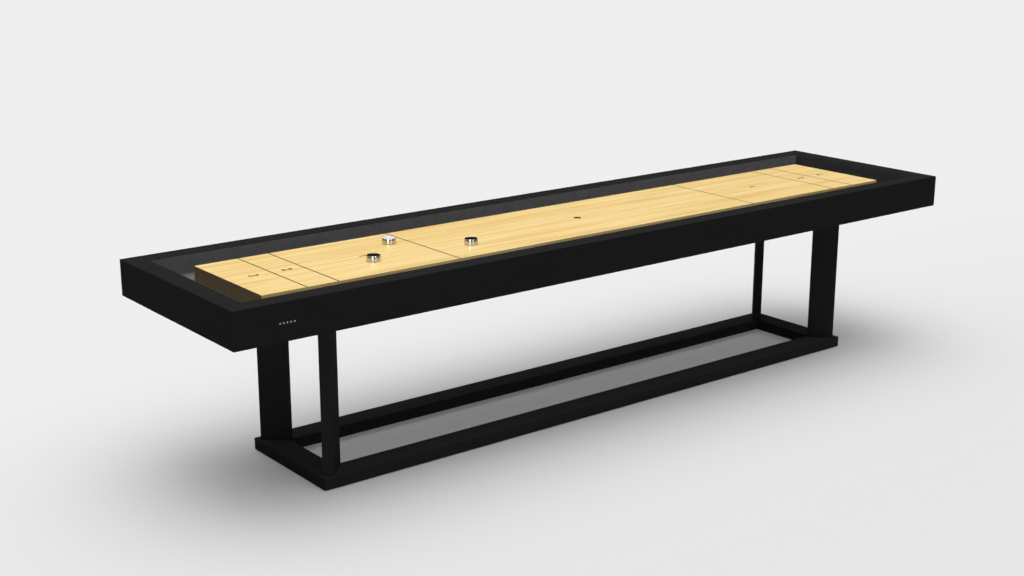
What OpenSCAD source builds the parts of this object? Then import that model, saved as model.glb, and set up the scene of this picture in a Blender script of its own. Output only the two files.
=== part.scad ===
// Shuffleboard table: a lacquered cabinet on a four-legged frame, with a maple playfield,
// carpeted gutters, climate adjusters under the playfield, levelling feet and three pucks.
// Millimetres. +X runs along the table, +Y to the back, +Z up. The origin is on the floor
// under the middle of the table.

/* [Cabinet] */
// Overall length of the cabinet
table_l = 3658; // [3640:1:3900]
// Overall width of the cabinet
table_w = 866; // [840:1:920]
// Height of the rim above the floor
table_h = 795; // [740:1:820]
// Depth of the apron, rim included
apron_h = 139; // [136:1:160]
// Thickness of the apron boards
apron_t = 25; // [20:1:30]
// Width of the flat rim around the gutters
rim_w = 78; // [70:1:90]
// Thickness of the rim boards
rim_t = 19; // [15:1:22]
// Thickness of the gutters' inner wall boards
wall_t = 18; // [15:1:18]
// Radius of the eased edges
ease_r = 1.5; // [0.5:0.5:3]

/* [Gutters] */
// Depth of the gutter floor below the rim
gutter_depth = 77; // [70:1:80]
// Thickness of the gutter floor panels
gutter_floor_t = 16; // [12:1:16]
// Thickness of the carpet lining
carpet_t = 3; // [2:0.5:4]

/* [Playfield] */
// Length of the playfield
board_l = 3245; // [3180:1:3250]
// Width of the playfield
board_w = 505; // [480:1:520]
// Drop from the rim to the playing surface
board_drop = 21.5; // [15:0.5:30]
// Distance of the foul lines from the board's ends
foul_d = 834; // [700:1:1000]
// Distance of the line between the two and one point zones from the ends
two_d = 307; // [280:1:330]
// Distance of the line between the three and two point zones from the ends
three_d = 178; // [160:1:200]
// Width of the inlaid lines
line_w = 6; // [3:0.5:8]
// Depth of all the inlays
inlay_t = 1.2; // [0.8:0.2:3]
// Height of the score digits
digit_h = 40; // [36:1:60]
// Corner to corner size of the diamond in the middle
diamond_w = 40; // [20:1:80]

/* [Frame] */
// Length of the floor frame
base_l = 2813; // [2700:1:2900]
// Width of the floor frame
base_w = 523; // [500:1:560]
// Height of the floor frame's rails
base_h = 47; // [44:1:60]
// Width of the floor frame's rails
base_rail_w = 99; // [96:1:110]
// Width of a leg, which stands across its corner of the frame
leg_w = 115.5; // [100:0.5:120]
// Thickness of a leg
leg_t = 39.5; // [30:0.5:45]
// Distance of the middle of a leg from the end of the floor frame
leg_inset_x = 65; // [58:0.5:68]
// Distance of the middle of a leg from the side of the floor frame
leg_inset_y = 58.5; // [56:0.5:62]
// Gap between the floor and the frame on its levelling feet
foot_gap = 3; // [2:0.5:6]

/* [Pucks] */
// Diameter of a puck
puck_d = 54; // [50:1:60]
// Height of a puck's steel weight
weight_h = 22.5; // [18:0.5:26]
// Thickness of the cap let into the weight's top
cap_t = 4; // [3.5:0.5:6]

/* [Hidden] */
// Sides as a name and the turn that brings the front side there
SIDES = [["front", 0], ["right", 90], ["back", 180], ["left", 270]];
// Corners as a name and the signs of x and y
CORNERS = [
    ["front_left", -1, -1], ["front_right", 1, -1],
    ["back_left", -1, 1], ["back_right", 1, 1]
];
// Pucks as a name, a place on the board and the colour of the cap
PUCKS = [
    ["a", -1065, -89, "#141414"],
    ["b", -625, -100, "#141414"],
    ["c", -869, 105, "#d8d8d6"]
];
// Places along the table of what the cabinet holds
BEAM_X = [-1690, -1520, -760, 0, 760, 1520, 1690];
ADJUSTER_X = [-1050, -380, 380, 1050];
SPACER_X = [-1200, -600, 0, 600, 1200];

$fn = 64;
eps = 0.1;
ease_steps = 4;

// Heights
apron_z = table_h - apron_h;
rim_z = table_h - rim_t;
board_z = table_h - board_drop;
carpet_z = table_h - gutter_depth;
gutter_floor_z = carpet_z - carpet_t - gutter_floor_t;
board_t = board_z - gutter_floor_z;
beam_h = 31;
beam_z = gutter_floor_z - beam_h;
plate_t = 5;
leg_top_z = beam_z - plate_t;
base_z = foot_gap;
base_top_z = base_z + base_h;

// Plan sizes
apron_in_l = table_l - 2 * apron_t;
apron_in_w = table_w - 2 * apron_t;
wall_in_l = table_l - 2 * rim_w;
wall_in_w = table_w - 2 * rim_w;
wall_out_l = wall_in_l + 2 * wall_t;
wall_out_w = wall_in_w + 2 * wall_t;
board_gap = 1;
floor_in_l = board_l + 2 * board_gap;
floor_in_w = board_w + 2 * board_gap;
leg_x = base_l / 2 - leg_inset_x;
leg_y = base_w / 2 - leg_inset_y;

// Cabinet
wall_z = apron_z + 2;
block_w = 60;
beam_w = 60;
leg_beam_w = 130;
badge_w = 86;
badge_h = 12;
badge_t = 1.2;
badge_x = 202;
badge_drop = 73;

// Playfield
digit_w = 22.5;
digit_stroke = 7;
digit_three_d = 107;

// Climate adjusters
bracket_y = 215;
bracket_w = 50;
bracket_depth = 50;
bracket_t = 5;
bracket_drop = 34;
rod_d = 12;
rod_hole_d = 12.5;
rod_z = gutter_floor_z - 20;
rod_in_y = 20;
rod_out_y = 232;
locknut_af = 18;
locknut_t = 10;
lag_d = 8;
lag_l = 42;
lag_head_af = 13;
lag_head_h = 5.5;
lag_x = 16;
lag_y = 183;
barrel_d = 22;
barrel_l = 110;
barrel_bore_d = 12.1;
collar_af = 26;
collar_l = 24;

// Leg plates and their fasteners
plate_w = 78;
screw_d = 6;
screw_head_d = 11;
screw_head_h = 3;
screw_l = 30;
screw_u = 12;
screw_v = 33;
bolt_d = 8;
bolt_head_d = 15;
bolt_head_h = 4;
bolt_l = 85;
bolt_u = 28;

// Levelling feet
leveller_x = 1230;
leveller_y = (base_w - base_rail_w) / 2;
pad_d = 40;
pad_t = 8;
pad_recess_d = 46;
pad_recess_h = 9;
stud_d = 10;
stud_l = 32;
stud_hole_d = 11;
stud_hole_h = 40;
insert_d = 16;
insert_bore_d = 10.1;
insert_l = 20;
insert_flange_d = 24;
insert_flange_t = 1.5;

// Pucks
puck_gap = 0.3;
puck_chamfer = 1.5;
taper_d = 2.4;
taper_h = 8;
shoulder_r = 0.8;
cap_d = puck_d - taper_d - 2 * shoulder_r;
cap_recess_t = 3;
cap_edge_r = 0.8;
cap_dish_d = 34;
cap_dish_t = 0.6;
spigot_d = 14;
spigot_h = 6;

// Points of one corner of a board's section, eased to radius r and starting at angle a
function corner(x, y, r, a) = r > 0
    ? [for (i = [0:ease_steps]) let (b = a + i * 90 / ease_steps) [x + r * cos(b), y + r * sin(b)]]
    : [[x, y]];

// Section of a board, w across and h up, whose corners have the radii r: bottom outer,
// bottom inner, top inner and top outer
function section(w, h, r) = concat(
    corner(r[0], r[0], r[0], 180), corner(w - r[1], r[1], r[1], 270),
    corner(w - r[2], h - r[2], r[2], 0), corner(r[3], h - r[3], r[3], 90)
);

// Puts a child that stands inward from y = 0 along X on one side of an l x w rectangle
module on_side(turn, l, w)
    rotate(turn) translate([0, -(turn % 180 == 0 ? w : l) / 2, 0]) children();

// Board along one side of an l x w rectangle, d deep and h high, with both ends mitred
module mitred_board(turn, l, w, d, h, radii) {
    run = turn % 180 == 0 ? l : w;
    on_side(turn, l, w) intersection() {
        rotate([90, 0, 90]) linear_extrude(run, center = true) polygon(section(d, h, radii));
        translate([0, 0, -eps]) linear_extrude(h + 2 * eps)
            polygon([[-run / 2, 0], [run / 2, 0], [run / 2 - d, d], [d - run / 2, d]]);
    }
}

// Block from one corner to the other
module block(from, to) translate(from) cube(to - from);

// Children at a corner's leg, turned so that X runs along the leg's width
module at_leg(c) translate([c[1] * leg_x, c[2] * leg_y, 0]) rotate(45 * c[1] * c[2]) children();

// Children at all four legs
module at_legs() for (c = CORNERS) at_leg(c) children();

// Children at all four levelling feet
module at_levellers() for (c = CORNERS)
    translate([c[1] * leveller_x, c[2] * leveller_y, 0]) children();

// Children at both ends of every adjuster, on the front and the back of the board
module at_adjuster_ends() for (x = ADJUSTER_X, turn = [0, 180])
    translate([x, 0, rod_z]) rotate(turn) children();

// Countersunk fastener that points up from its flat head at z = 0
module countersunk(d, l, head_d, head_h) {
    cylinder(h = head_h, d1 = head_d, d2 = d);
    cylinder(h = l, d = d);
}

// Hexagonal prism measured across its flats
module hex(af, h) cylinder(h = h, d = af / cos(30), $fn = 6);

// Cabinet ------------------------------------------------------------------------------

module badge_solid()
    block([badge_x - badge_w / 2 - table_l / 2, -table_w / 2, table_h - badge_drop - badge_h / 2],
          [badge_x + badge_w / 2 - table_l / 2, badge_t - table_w / 2, table_h - badge_drop + badge_h / 2]);

module apron(turn) color("#1a1a1b") difference() {
    translate([0, 0, apron_z])
        mitred_board(turn, table_l, table_w, apron_t, rim_z - apron_z, [ease_r, ease_r, 0, 0]);
    if (turn == 0) badge_solid();
}

module rim(turn) color("#232324") translate([0, 0, rim_z])
    mitred_board(turn, table_l, table_w, rim_w, rim_t, [0, 0, ease_r, ease_r]);

module gutter_wall(turn) color("#b89c6d") {
    run = turn % 180 == 0 ? wall_out_l : wall_in_w;
    on_side(turn, wall_out_l, wall_out_w) block([-run / 2, 0, wall_z], [run / 2, wall_t, rim_z]);
}

// The side floors lie between the end floors
module gutter_floor(turn) color("#b89c6d") {
    along = turn % 180 == 0;
    run = along ? floor_in_l : wall_in_w;
    depth = along ? (wall_in_w - floor_in_w) / 2 : (wall_in_l - floor_in_l) / 2;
    on_side(turn, wall_in_l, wall_in_w)
        block([-run / 2, 0, gutter_floor_z], [run / 2, depth, gutter_floor_z + gutter_floor_t]);
}

// Carpet on the gutter's floor and up its wall to the rim
module gutter_carpet(turn) color("#4a4a4c") {
    along = turn % 180 == 0;
    wall_run = along ? wall_in_l : wall_in_w - 2 * carpet_t;
    floor_run = along ? floor_in_l : wall_in_w - 2 * carpet_t;
    depth = along ? (wall_in_w - floor_in_w) / 2 : (wall_in_l - floor_in_l) / 2;
    on_side(turn, wall_in_l, wall_in_w) {
        block([-floor_run / 2, 0, carpet_z - carpet_t], [floor_run / 2, depth, carpet_z]);
        block([-wall_run / 2, 0, carpet_z - carpet_t], [wall_run / 2, carpet_t, table_h - ease_r]);
    }
}

// Corner blocks and spacers in the hollow between the aprons and the gutter walls
module glue_blocks() color("#c4a878") {
    hollow_l = (apron_in_l - wall_out_l) / 2;
    hollow_w = (apron_in_w - wall_out_w) / 2;
    for (c = CORNERS) scale([c[1], c[2], 1])
        block([wall_out_l / 2, wall_out_w / 2, wall_z], [apron_in_l / 2, apron_in_w / 2, rim_z]);
    for (x = SPACER_X, turn = [0, 180]) translate([x, 0, 0]) on_side(turn, apron_in_l, apron_in_w)
        block([-block_w / 2, 0, wall_z], [block_w / 2, hollow_w, rim_z]);
    for (turn = [90, 270]) on_side(turn, apron_in_l, apron_in_w)
        block([-block_w / 2, 0, wall_z], [block_w / 2, hollow_l, rim_z]);
}

module badge_plate() color("#a8a9ab") badge_solid();

// Beam from gutter wall to gutter wall, which carries the playfield and the gutter floors
module beam(x, w)
    block([x - w / 2, -wall_in_w / 2, beam_z], [x + w / 2, wall_in_w / 2, gutter_floor_z]);

module cross_beams() color("#c4a878") for (x = BEAM_X) beam(x, beam_w);

module leg_beam(side) color("#c4a878") difference() {
    beam(side * leg_x, leg_beam_w);
    plate_screws();
}

// Playfield ----------------------------------------------------------------------------

module board_blank() translate([-board_l / 2, -board_w / 2, gutter_floor_z]) rotate([90, 0, 90])
    linear_extrude(board_l) polygon(section(board_w, board_t, [0, 0, ease_r, ease_r]));

module playfield() color("#edcf8f") difference() {
    board_blank();
    line_slots();
    score_digits(eps);
    centre_inlay(eps);
    adjuster_screws();
}

module line_slots()
    for (side = [-1, 1], d = [foul_d, two_d, three_d])
        translate([side * (board_l / 2 - d) - line_w / 2, -board_w / 2 - eps, board_z - inlay_t])
            cube([line_w, board_w + 2 * eps, inlay_t + eps]);

// Inlaid strips, flush with the board's top and its eased edges
module court_lines() color("#2e261c") intersection() {
    board_blank();
    line_slots();
}

// The diamond and the digits stand on the bottom of their pockets. Proud of the board, they cut them
module centre_inlay(proud = 0) color("#1d1b19") translate([0, 0, board_z - inlay_t])
    linear_extrude(inlay_t + proud) rotate(45) square(diamond_w / sqrt(2), center = true);

// Part of a ring of outer radius r, from one angle to the other
module ring_arc(r, from, to) intersection() {
    difference() {
        circle(r);
        circle(r - digit_stroke);
    }
    polygon(concat(
        [[0, 0]],
        [for (i = [0:8]) let (a = from + i * (to - from) / 8) 2 * r * [cos(a), sin(a)]]
    ));
}

module digit_one() {
    flag_h = 7;
    translate([-digit_stroke / 2, 0]) square([digit_stroke, digit_h]);
    polygon([
        [0, digit_h], [-digit_w / 2, digit_h - flag_h],
        [-digit_w / 2, digit_h - 2 * flag_h], [0, digit_h - flag_h]
    ]);
}

// The diagonal starts inside the arc, which it meets at the angle join_a
module digit_two() {
    r = digit_w / 2;
    out_r = r - 0.6;
    in_r = r - digit_stroke + 0.6;
    top_y = digit_h - r;
    end_a = -30;
    join_a = -18;
    translate([0, top_y]) ring_arc(r, end_a, 170);
    translate([-r, 0]) square([digit_w, digit_stroke]);
    polygon([
        [out_r * cos(join_a), top_y + out_r * sin(join_a)],
        [in_r * cos(join_a), top_y + in_r * sin(join_a)],
        [1 - r, digit_stroke - 1], [1 - r, 1], [0, digit_stroke - 1]
    ]);
}

module digit_three() {
    r = digit_w / 2;
    translate([0, digit_h - r]) ring_arc(r, -90, 160);
    translate([0, r]) ring_arc(r, -160, 90);
}

// Each digit lies in its zone with its top towards the middle of the table
module score_digits(proud = 0) color("#2e261c") for (turn = [0, 180]) rotate(turn) {
    place_digit(digit_three_d, proud) digit_three();
    place_digit((two_d + three_d) / 2, proud) digit_two();
    place_digit((foul_d + two_d) / 2, proud) digit_one();
}

// A digit's middle is at distance d from the board's left end
module place_digit(d, proud) translate([d - board_l / 2, 0, board_z - inlay_t]) rotate(-90)
    linear_extrude(inlay_t + proud) translate([0, -digit_h / 2]) children();

// Climate adjusters --------------------------------------------------------------------

// Angle bracket under the board's edge, with a hole for the rod
module adjuster_brackets() color("#8d9094") difference() {
    at_adjuster_ends() translate([0, -bracket_y, gutter_floor_z - rod_z]) {
        block([-bracket_w / 2, 0, -bracket_t], [bracket_w / 2, bracket_depth, 0]);
        block([-bracket_w / 2, 0, -bracket_drop], [bracket_w / 2, bracket_t, 0]);
    }
    at_adjuster_ends() translate([0, -bracket_y - eps, 0]) rotate([-90, 0, 0])
        cylinder(h = bracket_t + 2 * eps, d = rod_hole_d);
    adjuster_screws();
}

// Threaded rod from the bracket into the turnbuckle
module adjuster_rods() color("#a4a7aa") at_adjuster_ends()
    translate([0, -rod_out_y, 0]) rotate([-90, 0, 0]) cylinder(h = rod_out_y - rod_in_y, d = rod_d);

// Hexagonal lag screws up through the brackets into the board
module adjuster_screws() color("#a4a7aa")
    at_adjuster_ends() for (x = [-lag_x, lag_x])
        translate([x, -lag_y, gutter_floor_z - rod_z - bracket_t]) {
            translate([0, 0, -lag_head_h]) hex(lag_head_af, lag_head_h);
            cylinder(h = lag_l, d = lag_d);
        }

// Locknuts on both faces of each bracket
module adjuster_locknuts() color("#a4a7aa")
    at_adjuster_ends() for (y = [-bracket_y - locknut_t, bracket_t - bracket_y])
        translate([0, y, 0]) rotate([-90, 0, 0]) difference() {
            hex(locknut_af, locknut_t);
            translate([0, 0, -eps]) cylinder(h = locknut_t + 2 * eps, d = rod_d);
        }

// Barrel with a spanner collar, which draws both rods in or pushes them out as it turns
module turnbuckle(x) color("#b9a15a") translate([x, 0, rod_z]) rotate([-90, 0, 0]) difference() {
    union() {
        translate([0, 0, -barrel_l / 2]) cylinder(h = barrel_l, d = barrel_d);
        translate([0, 0, -collar_l / 2]) hex(collar_af, collar_l);
    }
    translate([0, 0, -barrel_l / 2 - eps]) cylinder(h = barrel_l + 2 * eps, d = barrel_bore_d);
}

// Frame --------------------------------------------------------------------------------

// Rail of the floor frame, cut for the corner plates, their fasteners and the feet
module base_rail(turn) color("#1a1a1b") difference() {
    translate([0, 0, base_z])
        mitred_board(turn, base_l, base_w, base_rail_w, base_h, [for (i = [0:3]) ease_r]);
    at_legs() plate_blank(base_z - eps, plate_t + eps);
    plate_screws();
    leg_end_bolts();
    at_levellers() {
        translate([0, 0, base_z - eps]) cylinder(h = pad_recess_h + eps, d = pad_recess_d);
        cylinder(h = base_z + stud_hole_h, d = stud_hole_d);
        cylinder(h = base_z + pad_recess_h + insert_l, d = insert_d);
    }
}

module leg(c) color("#1f1f20") difference() {
    at_leg(c) translate([-leg_w / 2, -leg_t / 2, base_top_z])
        linear_extrude(leg_top_z - base_top_z) polygon(section(leg_w, leg_t, [for (i = [0:3]) ease_r]));
    leg_end_bolts();
}

// Square plate that lies along the frame's rails
module plate_blank(z, t)
    rotate(45) translate([-plate_w / 2, -plate_w / 2, z]) cube([plate_w, plate_w, t]);

module leg_top_plates() color("#8d9094") difference() {
    at_legs() plate_blank(leg_top_z, plate_t);
    plate_screws();
    leg_end_bolts();
}

module base_corner_plates() color("#8d9094") difference() {
    at_legs() plate_blank(base_z, plate_t);
    plate_screws();
    leg_end_bolts();
}

// Screws up through the top plates into the beams, and through the corner plates into the rails
module plate_screws() color("#a4a7aa") at_legs()
    for (z = [base_z, leg_top_z], u = [-screw_u, screw_u], v = [-screw_v, screw_v])
        translate([u, v, z]) countersunk(screw_d, screw_l, screw_head_d, screw_head_h);

// Bolts into both ends of each leg: up through the frame, and down through the top plate
module leg_end_bolts() color("#a4a7aa") at_legs() for (u = [-bolt_u, bolt_u]) {
    translate([u, 0, base_z]) countersunk(bolt_d, bolt_l, bolt_head_d, bolt_head_h);
    translate([u, 0, beam_z]) mirror([0, 0, 1]) countersunk(bolt_d, bolt_l, bolt_head_d, bolt_head_h);
}

// Flanged threaded sleeve for each levelling foot
module leveller_inserts() color("#b9a15a") at_levellers()
    translate([0, 0, base_z + pad_recess_h - insert_flange_t]) difference() {
        union() {
            cylinder(h = insert_l + insert_flange_t, d = insert_d);
            cylinder(h = insert_flange_t, d = insert_flange_d);
        }
        translate([0, 0, -eps])
            cylinder(h = insert_l + insert_flange_t + 2 * eps, d = insert_bore_d);
    }

// Pad and stud in one piece
module leveller(c) color("#3a3a3c") translate([c[1] * leveller_x, c[2] * leveller_y, 0]) {
    r = pad_d / 2;
    rotate_extrude()
        polygon([[0, 0], [r - 1, 0], [r, 1], [r, pad_t - 2], [r - 2, pad_t], [0, pad_t]]);
    cylinder(h = pad_t + stud_l, d = stud_d);
}

// Pucks --------------------------------------------------------------------------------

module at_puck(p) translate([p[1], p[2], board_z + puck_gap]) children();

// Steel weight that narrows a little to a rounded shoulder, with a recess for the cap and a
// socket for the cap's spigot
module puck_weight(p) color("#c9cacc") at_puck(p) {
    r = puck_d / 2;
    cap_r = cap_d / 2;
    recess_z = weight_h - cap_recess_t;
    socket_z = recess_z - spigot_h;
    rotate_extrude() polygon(concat(
        [[0, 0], [r - puck_chamfer, 0], [r, puck_chamfer], [r, weight_h - taper_h]],
        corner(cap_r, weight_h - shoulder_r, shoulder_r, 0),
        [[cap_r, recess_z]],
        [[spigot_d / 2, recess_z], [spigot_d / 2, socket_z], [0, socket_z]]
    ));
}

// Cap with a rounded edge, a shallow dish on top and a spigot into the weight
module puck_cap(p) color(p[3]) at_puck(p) {
    r = cap_d / 2;
    dish_r = cap_dish_d / 2;
    rotate_extrude() translate([0, weight_h - cap_recess_t]) polygon(concat(
        [[0, -spigot_h], [spigot_d / 2, -spigot_h], [spigot_d / 2, 0], [r, 0]],
        corner(r - cap_edge_r, cap_t - cap_edge_r, cap_edge_r, 0),
        [[dish_r, cap_t], [dish_r - 1, cap_t - cap_dish_t], [0, cap_t - cap_dish_t]]
    ));
}

// Nodes --------------------------------------------------------------------------------

for (s = SIDES) {
    apron(s[1]);
    rim(s[1]);
    gutter_wall(s[1]);
    gutter_floor(s[1]);
    gutter_carpet(s[1]);
    base_rail(s[1]);
}
for (c = CORNERS) {
    leg(c);
    leveller(c);
}
for (i = [0:len(ADJUSTER_X) - 1])
    turnbuckle(ADJUSTER_X[i]);
for (p = PUCKS) {
    puck_weight(p);
    puck_cap(p);
}
glue_blocks();
badge_plate();
cross_beams();
leg_beam(-1);  // leg_beam_left
leg_beam(1);  // leg_beam_right
playfield();
court_lines();
score_digits();
centre_inlay();
adjuster_brackets();
adjuster_rods();
adjuster_screws();
adjuster_locknuts();
leg_top_plates();
base_corner_plates();
leg_end_bolts();
plate_screws();
leveller_inserts();
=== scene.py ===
"""Looks of the shuffleboard table: its materials, carpet linings, studio and camera."""

import math

import bmesh
import bpy
from mathutils import Matrix, Quaternion, Vector, noise


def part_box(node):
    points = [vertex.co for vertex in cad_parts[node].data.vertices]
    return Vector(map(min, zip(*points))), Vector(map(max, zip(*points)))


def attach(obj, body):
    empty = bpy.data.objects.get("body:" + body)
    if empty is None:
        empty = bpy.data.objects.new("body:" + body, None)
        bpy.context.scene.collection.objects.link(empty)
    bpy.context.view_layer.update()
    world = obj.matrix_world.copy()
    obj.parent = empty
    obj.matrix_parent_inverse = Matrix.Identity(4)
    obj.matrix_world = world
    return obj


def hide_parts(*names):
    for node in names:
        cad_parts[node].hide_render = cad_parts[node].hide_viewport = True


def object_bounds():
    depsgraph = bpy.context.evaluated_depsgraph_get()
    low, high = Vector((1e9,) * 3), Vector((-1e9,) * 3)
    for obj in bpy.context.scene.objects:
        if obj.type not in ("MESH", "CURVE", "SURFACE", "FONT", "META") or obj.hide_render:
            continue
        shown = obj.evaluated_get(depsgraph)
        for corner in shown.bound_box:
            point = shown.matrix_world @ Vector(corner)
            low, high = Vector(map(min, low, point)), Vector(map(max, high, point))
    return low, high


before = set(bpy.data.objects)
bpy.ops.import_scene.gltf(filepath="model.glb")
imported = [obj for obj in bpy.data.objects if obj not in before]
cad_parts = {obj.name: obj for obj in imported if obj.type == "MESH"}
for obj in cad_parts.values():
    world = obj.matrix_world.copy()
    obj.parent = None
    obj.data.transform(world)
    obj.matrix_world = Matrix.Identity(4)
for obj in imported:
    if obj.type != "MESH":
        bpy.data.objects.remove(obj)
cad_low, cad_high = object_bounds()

SIDES = {"front": 0, "right": 90, "back": 180, "left": 270}
CORNERS = ("front_left", "front_right", "back_left", "back_right")
PUCKS = ("a", "b", "c")

# Across a puck, in metres
PUCK_D = 0.054

# Camera: its place in metres, its angles in degrees, as seen from the table, and its lens in mm
CAMERA_PLACE = Vector((-3.9554, -4.6215, 2.1475))
CAMERA_AZIMUTH = -37.991
CAMERA_ELEVATION = 15.438
CAMERA_ROLL = 0.021
CAMERA_LENS = 52.486

# Floor: painted light makes its albedo times FLOOR_NEAR at FLOOR_FADE in front of the table's
# middle and times FLOOR_FAR as far behind it. It lies FLOOR_DROP under the feet, so that no two
# faces coincide
FLOOR_SIZE = 160.0
FLOOR_ALBEDO = 0.66
FLOOR_NEAR = 0.943
FLOOR_FAR = 1.02
FLOOR_FADE = 1.5
FLOOR_DROP = 0.0003

# Backdrop, which starts BACKDROP_SUNK below the floor
BACKDROP_RADIUS = 70.0
BACKDROP_HEIGHT = 45.0
BACKDROP_SUNK = 0.5
BACKDROP_GLOW = (0.84, 0.84, 0.84, 1)

# Light from the sky: SKY_AMBIENT + SKY_ZENITH * (cosine of the angle from the zenith) ** SKY_POWER
SKY_AMBIENT = 0.02
SKY_ZENITH = 3.8
SKY_POWER = 5

# Fill from the front, angles in degrees
FILL_ELEVATION = 60
FILL_SPREAD = 40
FILL_STRENGTH = 0.62
FILL_DISTANCE = 8.0

# Strips of light that only gloss shows, each with its azimuth in degrees and its power in watts
STRIPS = {"strip_left": (-55, 90), "strip_right": (-6, 35)}
STRIP_SIZE = (0.5, 2.6)
STRIP_ELEVATION = 16
STRIP_DISTANCE = 6.0

# Carpet linings: their steps are in degrees round the cove, in metres across the wall and the
# floor, and in numbers along half the floor's run and the wall's run past it. The swell is how
# far the pile rises and falls, and the coarse and fine ones are waves of noise per metre. A tuft
# is as wide as TUFT, and HAIR is a difference too small to matter
CARPET_THICKNESS = 0.003
COVE_RADIUS = 0.005
COVE_STEP = 18
PILE_STEP = 0.0045
HALF_STEPS = 180
END_STEPS = 15
PILE_SWELL = 0.0004
COARSE_SWELL = 60.0
FINE_SWELL = 190.0
TUFT = 0.0017
HAIR = 1e-6

# The pile's face lies over the floor, no longer in the cove, from this far off the wall
FLOOR_FROM = CARPET_THICKNESS + COVE_RADIUS - HAIR

# Playfield: its glued staves, and how far a glue line shows to each side
STAVES = 18
STAVE_JOINT = 0.00025

# Plywood: the thickness of two plies, one along the grain and one across it
TWO_PLIES = 0.0028

# Badge: diamonds in a row over a share of its length, and how much each is squeezed sideways
BADGE_MARKS = 5
BADGE_ROW = 0.8
BADGE_SQUEEZE = 2.6

# Painted light: how light the lacquer is made on each group of parts, and how much lighter again on
# level faces as painted light from above
CABINET_LIFT = 0.99
BASE_LIFT = 1.34
LEG_LIFT = 1.35
TOP_LIGHT_LIFT = 1.34

# Black stain on the hidden and under sides, and how much of it a board has
STAIN = (0.013, 0.013, 0.013)
RAW = 0.0
STAINED = 0.97

# How squarely a face has to look along an axis: from not at all to wholly facing it
FACING_SHARE = (0.6, 0.8)

# Sockets of the mix node for colours, which share their names with those for other types
MIX_A, MIX_B, MIX_RESULT = 6, 7, 2


# Node graphs --------------------------------------------------------------------------


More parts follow.
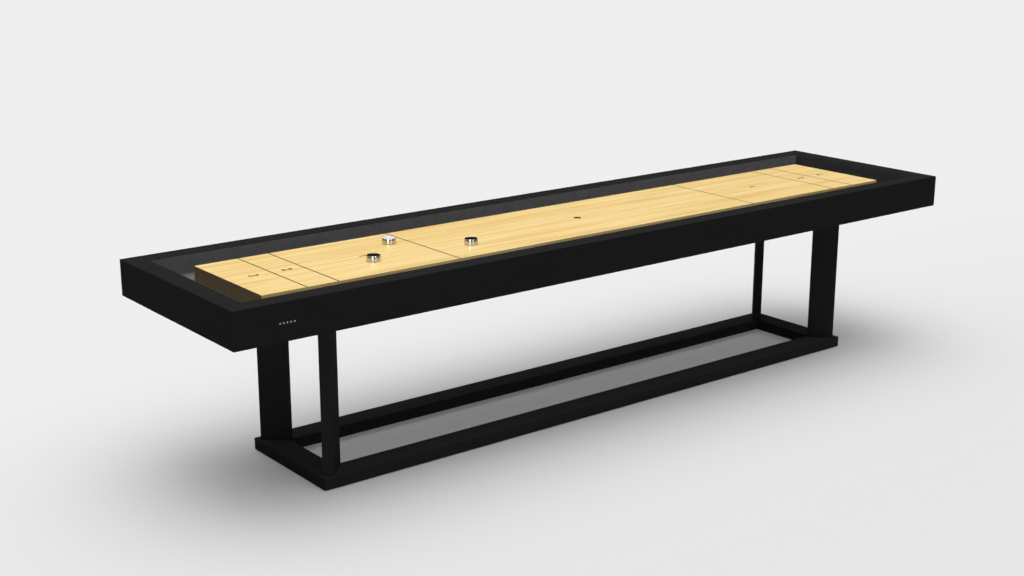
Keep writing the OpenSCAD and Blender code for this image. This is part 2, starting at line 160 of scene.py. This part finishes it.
class Look:
    """One material, with short ways to add the nodes that its look is made of."""

    def __init__(self, name, **constants):
        self.material = bpy.data.materials.new(name)
        self.material.use_nodes = True
        self.tree = self.material.node_tree
        self.tree.nodes.clear()
        self.shader = self.add("ShaderNodeBsdfPrincipled")
        output = self.add("ShaderNodeOutputMaterial")
        self.tree.links.new(self.shader.outputs["BSDF"], output.inputs["Surface"])
        self.place = self.add("ShaderNodeTexCoord").outputs["Object"]
        for socket, value in constants.items():
            self.shader.inputs[socket.replace("_", " ")].default_value = value

    def add(self, kind, **settings):
        node = self.tree.nodes.new(kind)
        for key, value in settings.items():
            setattr(node, key, value)
        return node

    def put(self, value, socket):
        if isinstance(value, bpy.types.NodeSocket):
            self.tree.links.new(value, socket)
        else:
            socket.default_value = value

    def drive(self, **values):
        for socket, value in values.items():
            self.put(value, self.shader.inputs[socket.replace("_", " ")])

    def maths(self, operation, *values):
        node = self.add("ShaderNodeMath", operation=operation)
        for socket, value in zip(node.inputs, values):
            self.put(value, socket)
        return node.outputs[0]

    def scaled(self, stretch, place=None):
        """The place of a point, with each axis times its factor in stretch."""
        node = self.add("ShaderNodeVectorMath", operation="MULTIPLY")
        self.put(place or self.place, node.inputs[0])
        node.inputs[1].default_value = stretch
        return node.outputs[0]

    def noise(self, size, stretch=(1, 1, 1), detail=2.0, place=None):
        """Smooth noise from 0 to 1 whose features are about size metres across."""
        node = self.add("ShaderNodeTexNoise")
        self.put(self.scaled(stretch, place), node.inputs["Vector"])
        node.inputs["Scale"].default_value = 1 / size
        node.inputs["Detail"].default_value = detail
        return node.outputs["Fac"]

    def remap(self, value, low, high, to_low=0.0, to_high=1.0):
        """value from low to high as to_low to to_high, and no further."""
        node = self.add("ShaderNodeMapRange")
        for socket, number in zip(node.inputs, (value, low, high, to_low, to_high)):
            self.put(number, socket)
        return node.outputs[0]

    def mix(self, share, a, b, blend="MIX"):
        node = self.add("ShaderNodeMix", data_type="RGBA", blend_type=blend)
        self.put(share, node.inputs["Factor"])
        for socket, colour in ((node.inputs[MIX_A], a), (node.inputs[MIX_B], b)):
            self.put(colour if isinstance(colour, bpy.types.NodeSocket) else (*colour, 1.0), socket)
        return node.outputs[MIX_RESULT]

    def ramp(self, value, *stops):
        """A colour that runs through stops, each a place from 0 to 1 and a colour."""
        node = self.add("ShaderNodeValToRGB")
        elements = node.color_ramp.elements
        while len(elements) < len(stops):
            elements.new(0.5)
        for element, (at, colour) in zip(elements, stops):
            element.position = at
            element.color = (*colour, 1.0)
        self.put(value, node.inputs["Fac"])
        return node.outputs["Color"]

    def apart(self, vector):
        node = self.add("ShaderNodeSeparateXYZ")
        self.put(vector, node.inputs[0])
        return node.outputs

    def together(self, *values):
        node = self.add("ShaderNodeCombineXYZ")
        for socket, value in zip(node.inputs, values):
            self.put(value, socket)
        return node.outputs[0]

    def facing(self, axis):
        """1 on flat faces across an axis of the table, either way round."""
        normal = self.add(
            "ShaderNodeVectorTransform",
            vector_type="NORMAL", convert_from="WORLD", convert_to="OBJECT",
        )
        self.put(self.add("ShaderNodeNewGeometry").outputs["True Normal"], normal.inputs[0])
        towards = self.apart(normal.outputs[0])["XYZ".index(axis)]
        return self.remap(self.maths("ABSOLUTE", towards), *FACING_SHARE)

    def edges(self, radius, break_up):
        """1 on the sharp and eased edges that handling rubs, broken up by noise."""
        rounded = self.add("ShaderNodeBevel", samples=6)
        rounded.inputs["Radius"].default_value = radius
        flat = self.add("ShaderNodeNewGeometry").outputs["True Normal"]
        agree = self.add("ShaderNodeVectorMath", operation="DOT_PRODUCT")
        self.put(rounded.outputs[0], agree.inputs[0])
        self.put(flat, agree.inputs[1])
        turned = self.remap(agree.outputs["Value"], 0.98, 0.80)
        return self.maths("MULTIPLY", turned, self.remap(break_up, 0.45, 0.65))

    def bump(self, height, depth, under=None):
        """A normal for a surface that height, from 0 to 1, raises by up to depth metres."""
        node = self.add("ShaderNodeBump")
        node.inputs["Distance"].default_value = depth
        self.put(height, node.inputs["Height"])
        if under is not None:
            self.put(under, node.inputs["Normal"])
        return node.outputs[0]


def along(axis, share):
    """Stretch factors for a grain that runs along an axis."""
    return tuple(share if letter == axis else 1.0 for letter in "XYZ")


# Materials ----------------------------------------------------------------------------


def black_lacquer(part, axis, lift):
    """Dead flat black lacquer, with faint grain along axis, made lighter by lift as painted light
    on its group of parts and lighter still on level faces as painted light from above.
    """
    look = Look(f"black_lacquer_{part}_{axis.lower()}", Specular_IOR_Level=0.001)
    grain = look.noise(0.006, along(axis, 0.03), detail=5)
    mottle = look.noise(0.16, along(axis, 0.4), detail=3)
    peel = look.noise(0.0016, detail=1)
    worn = look.edges(0.0012, look.noise(0.012, detail=3))
    tone = look.mix(
        look.remap(grain, 0.3, 0.7), (0.0125, 0.0125, 0.0126), (0.0142, 0.0141, 0.0141)
    )
    tone = look.mix(look.remap(mottle, 0.35, 0.7, 0.0, 0.4), tone, (0.0156, 0.0156, 0.0158))
    # Painted light: the tone is made lighter for this group of parts, and lighter still on level
    # faces
    painted_top_light = look.remap(look.facing("Z"), 0.0, 1.0, lift, lift * TOP_LIGHT_LIFT)
    tone = look.mix(1.0, tone, look.together(painted_top_light, painted_top_light, painted_top_light), "MULTIPLY")
    rough = look.remap(mottle, 0.3, 0.7, 0.40, 0.54)
    look.drive(
        Base_Color=look.mix(look.maths("MULTIPLY", worn, 0.35), tone, (0.045, 0.044, 0.043)),
        Roughness=look.maths("SUBTRACT", rough, look.maths("MULTIPLY", worn, 0.08)),
        Normal=look.bump(grain, 0.00005, look.bump(peel, 0.000012)),
    )
    return look.material


def maple_board():
    """Laminated maple staves under a clear coat, with darker end grain, painted shade on its long
    sides and a black underside.
    """
    low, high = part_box("playfield")
    stave_w = (high.y - low.y) / STAVES
    look = Look("maple_board", Coat_Roughness=0.16, Coat_IOR=1.45, Specular_IOR_Level=0.25)
    x, y, z = look.apart(look.place)
    across = look.maths("ADD", look.maths("DIVIDE", y, stave_w), STAVES / 2)
    stave = look.add("ShaderNodeTexWhiteNoise", noise_dimensions="1D")
    look.put(look.maths("FLOOR", across), stave.inputs["W"])
    chance = stave.outputs["Value"]
    place = look.together(
        look.maths("MULTIPLY_ADD", chance, 9.0, x), y, look.maths("MULTIPLY_ADD", chance, 0.7, z)
    )
    figure = look.noise(0.022, along("X", 0.035), detail=4, place=place)
    streaks = look.noise(0.0045, along("X", 0.012), detail=5, place=place)
    pores = look.noise(0.0009, along("X", 0.03), detail=2, place=place)
    broad, fine = look.maths("MULTIPLY", figure, 0.65), look.maths("MULTIPLY", streaks, 0.35)
    wood = look.ramp(
        look.maths("ADD", broad, fine),
        (0.40, (0.79, 0.53, 0.180)),
        (0.48, (0.865, 0.62, 0.252)),
        (0.55, (0.90, 0.67, 0.295)),
        (0.63, (0.92, 0.71, 0.335)),
    )
    tint = look.remap(chance, 0.0, 1.0, 0.985, 1.035)
    wood = look.mix(1.0, wood, look.together(tint, tint, tint), "MULTIPLY")
    to_joint = look.maths("PINGPONG", across, 0.5)
    joint = look.remap(to_joint, 0.0, STAVE_JOINT / stave_w, 0.22, 0.0)
    wood = look.mix(joint, wood, (0.42, 0.25, 0.09))
    wood = look.mix(look.remap(pores, 0.62, 0.72, 0.0, 0.10), wood, (0.5, 0.3, 0.12))
    rings = look.noise(0.0016, (1.0, 1.0, 0.45), detail=3, place=place)
    end_grain = look.mix(
        look.remap(rings, 0.35, 0.65), (0.130, 0.095, 0.040), (0.200, 0.147, 0.064)
    )
    end_grain = look.mix(
        look.remap(chance, 0.0, 1.0, 0.0, 0.25), end_grain, (0.120, 0.087, 0.037)
    )
    on_end = look.facing("X")
    # Painted shade: the long sides of the board are made darker and cooler than its top
    painted_side_shade = look.mix(1.0, wood, (0.84, 0.90, 1.0), "MULTIPLY")
    wood = look.mix(look.facing("Y"), wood, painted_side_shade)
    wood = look.mix(on_end, wood, end_grain)
    coated = look.remap(z, low.z + 0.0005, low.z + 0.001)
    wood = look.mix(coated, STAIN, wood)
    smudge = look.noise(0.11, (0.5, 1, 1), detail=3)
    look.drive(
        Base_Color=wood,
        Roughness=look.remap(smudge, 0.3, 0.7, 0.36, 0.48),
        Coat_Weight=look.maths("MULTIPLY", coated, look.remap(on_end, 0.0, 1.0, 0.30, 0.05)),
        Normal=look.bump(pores, 0.00003, look.bump(streaks, 0.00003)),
    )
    return look.material


def dark_inlay(name, dark, light):
    """Dyed hardwood inlay, with the same clear coat as the board around it."""
    look = Look(name, Coat_Weight=0.1, Coat_Roughness=0.16, Specular_IOR_Level=0.15)
    grain = look.noise(0.0015, along("Y", 0.08), detail=4)
    look.drive(
        Base_Color=look.mix(look.remap(grain, 0.35, 0.65), dark, light),
        Roughness=look.remap(grain, 0.3, 0.7, 0.38, 0.5),
        Normal=look.bump(grain, 0.00003),
    )
    return look.material


def birch_plywood(thin_axis, grain_axis, stain):
    """Birch plywood whose plies lie across thin_axis, with a share of black stain over it."""
    look = Look(f"birch_plywood_{thin_axis.lower()}_{grain_axis.lower()}", Specular_IOR_Level=0.3)
    grain = look.noise(0.012, along(grain_axis, 0.05), detail=6)
    pores = look.noise(0.0012, along(grain_axis, 0.04), detail=2)
    through = look.apart(look.place)["XYZ".index(thin_axis)]
    ply = look.maths("FRACT", look.maths("DIVIDE", through, TWO_PLIES))
    plies = look.mix(look.remap(ply, 0.48, 0.52), (0.60, 0.43, 0.25), (0.36, 0.22, 0.11))
    face = look.mix(look.remap(grain, 0.3, 0.7), (0.55, 0.39, 0.22), (0.72, 0.55, 0.35))
    face = look.mix(look.remap(pores, 0.6, 0.7, 0.0, 0.2), face, (0.35, 0.2, 0.1))
    wood = look.mix(look.facing(thin_axis), plies, face)
    look.drive(
        Base_Color=look.mix(stain, wood, STAIN),
        Roughness=look.remap(grain, 0.3, 0.7, 0.55, 0.72),
        Normal=look.bump(grain, 0.00015),
    )
    return look.material


def softwood(axis, stain):
    """Planed softwood with rings along axis and a few knots, under a share of black stain."""
    look = Look(f"softwood_{axis.lower()}", Specular_IOR_Level=0.3)
    sway = look.noise(0.09, along(axis, 0.3), detail=2)
    bent = look.add("ShaderNodeVectorMath", operation="ADD")
    look.put(look.scaled(along(axis, 0.12)), bent.inputs[0])
    shift = look.maths("MULTIPLY", sway, 0.03)
    look.put(look.together(shift, shift, shift), bent.inputs[1])
    rings = look.add(
        "ShaderNodeTexWave", wave_type="RINGS", rings_direction=axis, wave_profile="SAW"
    )
    look.put(bent.outputs[0], rings.inputs["Vector"])
    rings.inputs["Scale"].default_value = 24.0
    rings.inputs["Distortion"].default_value = 1.4
    fibre = look.noise(0.0018, along(axis, 0.03), detail=3)
    knots = look.add("ShaderNodeTexVoronoi", feature="F1")
    look.put(look.scaled(along(axis, 0.6)), knots.inputs["Vector"])
    knots.inputs["Scale"].default_value = 4.0
    knot = look.remap(knots.outputs["Distance"], 0.03, 0.055, 1.0, 0.0)
    wood = look.ramp(
        rings.outputs["Fac"],
        (0.0, (0.70, 0.52, 0.30)),
        (0.6, (0.64, 0.45, 0.24)),
        (0.93, (0.42, 0.25, 0.11)),
        (1.0, (0.66, 0.48, 0.27)),
    )
    wood = look.mix(look.remap(fibre, 0.35, 0.7, 0.0, 0.25), wood, (0.78, 0.62, 0.40))
    look.drive(
        Base_Color=look.mix(stain, look.mix(knot, wood, (0.20, 0.10, 0.045)), STAIN),
        Roughness=look.remap(fibre, 0.3, 0.7, 0.58, 0.75),
        Normal=look.bump(rings.outputs["Fac"], 0.00010, look.bump(fibre, 0.00012)),
    )
    return look.material


def plated_steel(name, dull, bright, roughness):
    """Zinc plated steel whose passivation varies a little in colour."""
    look = Look(name, Metallic=1.0)
    cloud = look.noise(0.02, detail=4)
    speckle = look.noise(0.0008, detail=2)
    worn = look.edges(0.0008, cloud)
    colour = look.mix(look.remap(cloud, 0.3, 0.7), dull, bright)
    look.drive(
        Base_Color=look.mix(look.maths("MULTIPLY", worn, 0.5), colour, (0.80, 0.80, 0.80)),
        Roughness=look.remap(speckle, 0.3, 0.7, roughness - 0.06, roughness + 0.08),
        Normal=look.bump(speckle, 0.00002),
    )
    return look.material


def black_steel():
    """Black oxide steel, rubbed a little at its edges."""
    look = Look("black_steel", Metallic=0.7)
    cloud = look.noise(0.012, detail=4)
    worn = look.edges(0.0008, cloud)
    look.drive(
        Base_Color=look.mix(
            look.maths("MULTIPLY", worn, 0.6),
            look.mix(look.remap(cloud, 0.3, 0.7), (0.020, 0.020, 0.022), (0.042, 0.041, 0.040)),
            (0.30, 0.29, 0.28),
        ),
        Roughness=look.remap(cloud, 0.3, 0.7, 0.38, 0.56),
        Normal=look.bump(look.noise(0.0007, detail=2), 0.00002),
    )
    return look.material


def badge_metal():
    """Black anodised plate with a row of small bright engraved diamonds."""
    low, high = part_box("badge_plate")
    middle, size = (low + high) / 2, high - low
    look = Look("badge_metal", Metallic=1.0)
    x, _, z = look.apart(look.place)
    from_middle = look.maths("SUBTRACT", x, middle.x)
    across = look.maths("MULTIPLY_ADD", from_middle, BADGE_MARKS / (size.x * BADGE_ROW), 0.5)
    along_row = look.maths("ABSOLUTE", look.maths("SUBTRACT", across, 0.5))
    marked = look.maths("LESS_THAN", along_row, BADGE_MARKS / 2)
    off_x = look.maths("ABSOLUTE", look.maths("SUBTRACT", look.maths("FRACT", across), 0.5))
    up = look.maths("SUBTRACT", z, middle.z)
    off_z = look.maths("ABSOLUTE", look.maths("DIVIDE", up, size.z * 0.5))
    off_both = look.maths("ADD", look.maths("MULTIPLY", off_x, BADGE_SQUEEZE), off_z)
    diamond = look.remap(off_both, 0.58, 0.50)
    bright = look.maths("MULTIPLY", diamond, marked)
    brush = look.noise(0.0005, along("X", 0.01), detail=4)
    metal = look.mix(look.remap(brush, 0.3, 0.7), (0.50, 0.50, 0.51), (0.68, 0.68, 0.69))
    look.drive(
        Base_Color=look.mix(bright, (0.016, 0.016, 0.017), metal),
        Roughness=look.remap(brush, 0.3, 0.7, 0.30, 0.48),
        Normal=look.bump(bright, 0.00015, look.bump(brush, 0.00002)),
    )
    return look.material


def turned(look, size):
    """Fine rings round the upright middle axis of a puck, as a lathe leaves them."""
    box = look.add("ShaderNodeTexCoord").outputs["Generated"]
    x, y, _ = look.apart(box)
    radius = look.maths("SQRT", look.maths(
        "ADD",
        look.maths("POWER", look.maths("SUBTRACT", x, 0.5), 2.0),
        look.maths("POWER", look.maths("SUBTRACT", y, 0.5), 2.0),
    ))
    height = look.apart(look.place)[2]
    place = look.together(look.maths("MULTIPLY", radius, PUCK_D), 0.0, height)
    return look.noise(size, place=place, detail=3)


def puck_chrome():
    """Polished chrome with fine turning marks and a few smudges."""
    look = Look("puck_chrome", Metallic=1.0, Anisotropic=0.75, Anisotropic_Rotation=0.25)
    marks = turned(look, 0.0004)
    smudge = look.noise(0.012, detail=3)
    look.drive(
        Base_Color=look.mix(look.remap(smudge, 0.35, 0.7), (0.62, 0.62, 0.63), (0.55, 0.55, 0.55)),
        Roughness=look.maths(
            "ADD", look.remap(marks, 0.3, 0.7, 0.18, 0.24), look.remap(smudge, 0.45, 0.7, 0.0, 0.07)
        ),
        Normal=look.bump(marks, 0.000004),
        Tangent=look.add("ShaderNodeTangent", direction_type="RADIAL", axis="Z").outputs[0],
    )
    return look.material


def puck_cap(name, dark, light, roughness):
    """Gloss plastic with fine scratches from stacking."""
    look = Look(name, Specular_IOR_Level=0.3)
    swirl = turned(look, 0.0006)
    scuff = look.noise(0.0006, (1.0, 0.08, 1.0), detail=2)
    look.drive(
        Base_Color=look.mix(look.remap(swirl, 0.35, 0.65), dark, light),
        Roughness=look.maths(
            "ADD",
            look.remap(swirl, 0.3, 0.7, roughness, roughness + 0.05),
            look.remap(scuff, 0.62, 0.7, 0.0, 0.12),
        ),
        Normal=look.bump(scuff, 0.000004, look.bump(swirl, 0.000004)),
    )
    return look.material


def gutter_carpet():
    """Short charcoal pile: tufts, loose fibres, a nap in soft patches, painted shade on the end
    walls and a darker band along its top edge.
    """
    look = Look(
        "gutter_carpet",
        Roughness=0.95, Specular_IOR_Level=0.1, Sheen_Weight=0.12, Sheen_Roughness=0.5,
    )
    tufts = look.add("ShaderNodeTexVoronoi", feature="F1")
    look.put(look.place, tufts.inputs["Vector"])
    tufts.inputs["Scale"].default_value = 1 / TUFT
    tuft = look.remap(tufts.outputs["Distance"], 0.0, 0.75, 1.0, 0.0)
    fibre = look.noise(0.0005, detail=3)
    nap = look.noise(0.06, detail=3)
    pile = look.maths("ADD", look.maths("MULTIPLY", tuft, 0.7), look.maths("MULTIPLY", fibre, 0.3))
    colour = look.mix(look.remap(pile, 0.15, 0.85), (0.082, 0.082, 0.088), (0.180, 0.180, 0.190))
    colour = look.mix(look.remap(nap, 0.35, 0.7, 0.0, 0.4), colour, (0.164, 0.164, 0.174))
    # Painted shade: the end walls, which face along X, are made darker
    painted_end_shade = look.mix(1.0, colour, (0.43, 0.43, 0.43), "MULTIPLY")
    colour = look.mix(look.facing("X"), colour, painted_end_shade)
    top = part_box("gutter_carpet_front")[1].z
    # Darker in a thin band along the top edge
    top_band = look.remap(look.apart(look.place)[2], top - 0.0012, top - 0.0006)
    look.drive(
        Base_Color=look.mix(top_band, colour, (0.022, 0.022, 0.023)),
        Normal=look.bump(pile, 0.0007),
    )
    return look.material


# Carpet linings -----------------------------------------------------------------------


def carpet_profile(depth, height):
    """Points of the pile's face, off the wall and up it, from the wall's top to the floor's end."""
    foot = CARPET_THICKNESS + COVE_RADIUS
    wall_n = math.ceil((height - foot) / PILE_STEP)
    floor_n = math.ceil((depth - foot) / PILE_STEP)
    wall = [(CARPET_THICKNESS, height - (height - foot) * i / wall_n) for i in range(wall_n)]
    cove = [
        (foot - COVE_RADIUS * math.cos(a), foot - COVE_RADIUS * math.sin(a))
        for a in (math.radians(d) for d in range(0, 91, COVE_STEP))
    ]
    floor = [
        (foot + (depth - foot) * (i + 1) / floor_n, CARPET_THICKNESS) for i in range(floor_n)
    ]
    return wall + cove + floor


def carpet_places(run, floor_run):
    """Places along a lining: even over the floor's run, and closer where only the wall goes on."""
    halves = [i * floor_run / 2 / HALF_STEPS for i in range(HALF_STEPS + 1)]
    if run > floor_run + HAIR:
        over = (run - floor_run) / 2
        halves += [floor_run / 2 + over * (i + 1) / END_STEPS for i in range(END_STEPS)]
    return [-u for u in reversed(halves[1:])] + halves


def pile_mesh(profile, places, floor_run, reach, bottom):
    """The pile's face as it lies at the front: a strip of wall and floor, a little uneven."""
    mesh = bmesh.new()
    rows = []
    for u in places:
        row = []
        for d, h in profile:
            point = Vector((u, d - reach, bottom + h))
            swell = noise.noise(point * COARSE_SWELL) * 0.6 + noise.noise(point * FINE_SWELL) * 0.4
            inward = min(1.0, max(0.0, (h - CARPET_THICKNESS) / COVE_RADIUS))
            lean = Vector((0.0, inward, 1.0 - inward)).normalized()
            row.append(mesh.verts.new(point + lean * swell * PILE_SWELL))
        rows.append(row)
    for i, (before, after) in enumerate(zip(rows, rows[1:])):
        past_floor = abs(places[i] + places[i + 1]) / 2 > floor_run / 2
        for j in range(len(profile) - 1):
            if past_floor and profile[j][0] > FLOOR_FROM:
                continue
            mesh.faces.new((before[j], before[j + 1], after[j + 1], after[j]))
    loose = [v for v in mesh.verts if not v.link_faces]
    bmesh.ops.delete(mesh, geom=loose, context="VERTS")
    return mesh


def carpet(side, turn, material):
    """One lining, glued up the gutter's wall and over its floor, in place of the CAD solid."""
    low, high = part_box(f"gutter_carpet_{side}")
    floor_low, floor_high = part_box(f"gutter_floor_{side}")
    along_it, across_it = (0, 1) if turn % 180 == 0 else (1, 0)
    run = high[along_it] - low[along_it]
    floor_run = min(run, floor_high[along_it] - floor_low[along_it])
    depth = high[across_it] - low[across_it]
    reach = max(abs(low[across_it]), abs(high[across_it]))
    profile = carpet_profile(depth, high.z - low.z)
    mesh = pile_mesh(profile, carpet_places(run, floor_run), floor_run, reach, low.z)
    mesh.transform(Matrix.Rotation(math.radians(turn), 4, "Z"))
    bmesh.ops.recalc_face_normals(mesh, faces=mesh.faces)
    for edge in mesh.edges:
        edge.smooth = not edge.is_boundary
    data = bpy.data.meshes.new(f"carpet_lining_{side}")
    mesh.to_mesh(data)
    mesh.free()
    data.materials.append(material)
    for face in data.polygons:
        face.use_smooth = True
    piece = bpy.data.objects.new(f"carpet_lining_{side}", data)
    bpy.context.scene.collection.objects.link(piece)
    thicken = piece.modifiers.new("thickness", "SOLIDIFY")
    thicken.thickness = CARPET_THICKNESS
    inward = Matrix.Rotation(math.radians(turn), 3, "Z") @ Vector((0, 1, 0))
    thicken.offset = -1.0 if data.polygons[0].normal.dot(inward) > 0 else 1.0
    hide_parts(f"gutter_carpet_{side}")
    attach(piece, "table")


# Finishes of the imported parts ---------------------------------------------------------


def paint(material, *nodes):
    """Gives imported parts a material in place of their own."""
    for name in nodes:
        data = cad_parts[name].data
        data.materials.clear()
        data.materials.append(material)


def finish_parts():
    # Painted light: lit copies of one lacquer, with the base and legs made lighter than the cabinet
    cabinet = {axis: black_lacquer("cabinet", axis, CABINET_LIFT) for axis in "XY"}
    base = {axis: black_lacquer("base", axis, BASE_LIFT) for axis in "XY"}
    for side, turn in SIDES.items():
        axis, thin = ("X", "Y") if turn % 180 == 0 else ("Y", "X")
        paint(cabinet[axis], f"apron_{side}", f"rim_{side}")
        paint(base[axis], f"base_rail_{side}")
        paint(birch_plywood(thin, axis, RAW), f"gutter_wall_{side}")
        paint(birch_plywood("Z", axis, STAINED), f"gutter_floor_{side}")
    paint(black_lacquer("leg", "Z", LEG_LIFT), *(f"leg_{corner}" for corner in CORNERS))
    paint(black_steel(), *(f"leveller_{corner}" for corner in CORNERS))
    paint(softwood("Z", RAW), "glue_blocks")
    paint(softwood("Y", STAINED), "cross_beams", "leg_beam_left", "leg_beam_right")
    paint(badge_metal(), "badge_plate")
    paint(maple_board(), "playfield")
    line_inlay = dark_inlay("line_inlay", (0.030, 0.018, 0.010), (0.055, 0.034, 0.020))
    paint(line_inlay, "court_lines")
    digit_inlay = dark_inlay("digit_inlay", (0.003, 0.003, 0.003), (0.006, 0.005, 0.005))
    paint(digit_inlay, "score_digits", "centre_inlay")
    paint(
        plated_steel("zinc_steel", (0.46, 0.47, 0.49), (0.60, 0.61, 0.62), 0.36),
        "adjuster_brackets", "adjuster_rods", "adjuster_screws", "adjuster_locknuts",
        "leg_top_plates", "base_corner_plates", "leg_end_bolts", "plate_screws",
    )
    yellow_zinc = plated_steel("yellow_zinc", (0.56, 0.44, 0.20), (0.72, 0.60, 0.34), 0.34)
    paint(yellow_zinc, *(f"turnbuckle_{i}" for i in range(1, 5)))
    turned_brass = plated_steel("turned_brass", (0.62, 0.44, 0.16), (0.78, 0.60, 0.28), 0.28)
    paint(turned_brass, "leveller_inserts")
    paint(puck_chrome(), *(f"puck_weight_{puck}" for puck in PUCKS))
    cap_black = puck_cap("cap_black", (0.004, 0.004, 0.004), (0.008, 0.008, 0.009), 0.22)
    paint(cap_black, "puck_cap_a", "puck_cap_b")
    cap_silver = puck_cap("cap_silver", (0.76, 0.76, 0.78), (0.84, 0.84, 0.86), 0.18)
    paint(cap_silver, "puck_cap_c")


# Studio -------------------------------------------------------------------------------


def floor_paint():
    """Pale matt paint, with painted light that makes it a little lighter towards the back."""
    look = Look("studio_floor", Roughness=0.9, Specular_IOR_Level=0.0)
    # Painted light: the albedo rises from the front to the back
    pale = look.remap(
        look.apart(look.place)[1],
        -FLOOR_FADE, FLOOR_FADE, FLOOR_ALBEDO * FLOOR_NEAR, FLOOR_ALBEDO * FLOOR_FAR,
    )
    look.drive(Base_Color=look.together(pale, pale, pale))
    return look.material


def make_floor():
    """A wide plain floor just under the feet."""
    mesh = bmesh.new()
    bmesh.ops.create_grid(mesh, x_segments=4, y_segments=4, size=FLOOR_SIZE / 2)
    data = bpy.data.meshes.new("studio_floor")
    mesh.to_mesh(data)
    mesh.free()
    data.materials.append(floor_paint())
    floor = bpy.data.objects.new("studio_floor", data)
    floor.location.z = cad_low.z - FLOOR_DROP
    bpy.context.scene.collection.objects.link(floor)


def make_backdrop():
    """A pale wall far round the floor, which low views see and which throws no light."""
    mesh = bmesh.new()
    bmesh.ops.create_cone(
        mesh, cap_ends=False, segments=96,
        radius1=BACKDROP_RADIUS, radius2=BACKDROP_RADIUS, depth=BACKDROP_HEIGHT,
    )
    data = bpy.data.meshes.new("studio_backdrop")
    mesh.to_mesh(data)
    mesh.free()
    glow = Look(
        "studio_backdrop",
        Base_Color=(0, 0, 0, 1), Roughness=1.0, Specular_IOR_Level=0.0,
        Emission_Color=BACKDROP_GLOW, Emission_Strength=1.0,
    )
    data.materials.append(glow.material)
    wall = bpy.data.objects.new("studio_backdrop", data)
    wall.location.z = BACKDROP_HEIGHT / 2 - BACKDROP_SUNK
    for ray in ("diffuse", "glossy", "transmission", "shadow"):
        setattr(wall, f"visible_{ray}", False)
    bpy.context.scene.collection.objects.link(wall)


def light_sky():
    """Light from above that gathers towards the zenith, as under a large overhead softbox."""
    world = bpy.data.worlds.new("studio_sky")
    bpy.context.scene.world = world
    world.use_nodes = True
    tree = world.node_tree
    background = next(n for n in tree.nodes if n.type == "BACKGROUND")
    direction = tree.nodes.new("ShaderNodeTexCoord").outputs["Generated"]
    apart = tree.nodes.new("ShaderNodeSeparateXYZ")
    tree.links.new(direction, apart.inputs[0])
    value = apart.outputs["Z"]
    for operation, number in (
        ("MAXIMUM", 0.0), ("POWER", SKY_POWER), ("MULTIPLY", SKY_ZENITH), ("ADD", SKY_AMBIENT)
    ):
        node = tree.nodes.new("ShaderNodeMath")
        node.operation = operation
        tree.links.new(value, node.inputs[0])
        node.inputs[1].default_value = number
        value = node.outputs[0]
    tree.links.new(value, background.inputs["Strength"])
    background.inputs["Color"].default_value = (1.0, 1.0, 1.0, 1.0)


def back_vector(azimuth, elevation):
    """Unit vector from the table towards a point at an azimuth and elevation."""
    a, e = math.radians(azimuth), math.radians(elevation)
    return Vector((math.sin(a) * math.cos(e), -math.cos(a) * math.cos(e), math.sin(e)))


def add_light(data, azimuth, elevation, distance):
    """Places a light round the table, facing the middle of its top."""
    light = bpy.data.objects.new(data.name, data)
    back = back_vector(azimuth, elevation)
    light.location = Vector((0, 0, cad_high.z)) + back * distance
    light.rotation_mode = "QUATERNION"
    light.rotation_quaternion = (-back).to_track_quat("-Z", "Y")
    bpy.context.scene.collection.objects.link(light)
    return light


def light_front():
    """A weak, even fill from the front that casts no shadow and shows in no gloss."""
    data = bpy.data.lights.new("fill_front", "SUN")
    data.energy = FILL_STRENGTH
    data.angle = math.radians(FILL_SPREAD)
    data.use_shadow = False
    add_light(data, 0, FILL_ELEVATION, FILL_DISTANCE).visible_glossy = False


def light_gloss():
    """Two soft strips that only gloss shows, for the highlights of the pucks."""
    for name, (azimuth, energy) in STRIPS.items():
        data = bpy.data.lights.new(name, "AREA")
        data.shape = "RECTANGLE"
        data.size, data.size_y = STRIP_SIZE
        data.energy = energy
        add_light(data, azimuth, STRIP_ELEVATION, STRIP_DISTANCE).visible_diffuse = False


def make_camera():
    """The camera, at its own place and aimed by its angles."""
    data = bpy.data.cameras.new("camera")
    data.sensor_width = 36.0
    data.lens = CAMERA_LENS
    data.clip_end = 400.0
    camera = bpy.data.objects.new("camera", data)
    aim = (-back_vector(CAMERA_AZIMUTH, CAMERA_ELEVATION)).to_track_quat("-Z", "Y")
    camera.rotation_mode = "QUATERNION"
    camera.rotation_quaternion = aim @ Quaternion((0, 0, 1), math.radians(CAMERA_ROLL))
    camera.location = CAMERA_PLACE
    bpy.context.scene.collection.objects.link(camera)
    bpy.context.scene.camera = camera


make_camera()
finish_parts()
carpet_material = gutter_carpet()
for carpet_side, carpet_turn in SIDES.items():
    carpet(carpet_side, carpet_turn, carpet_material)
make_floor()
make_backdrop()
light_sky()
light_front()
light_gloss()
bpy.context.scene.view_settings.view_transform = "Standard"
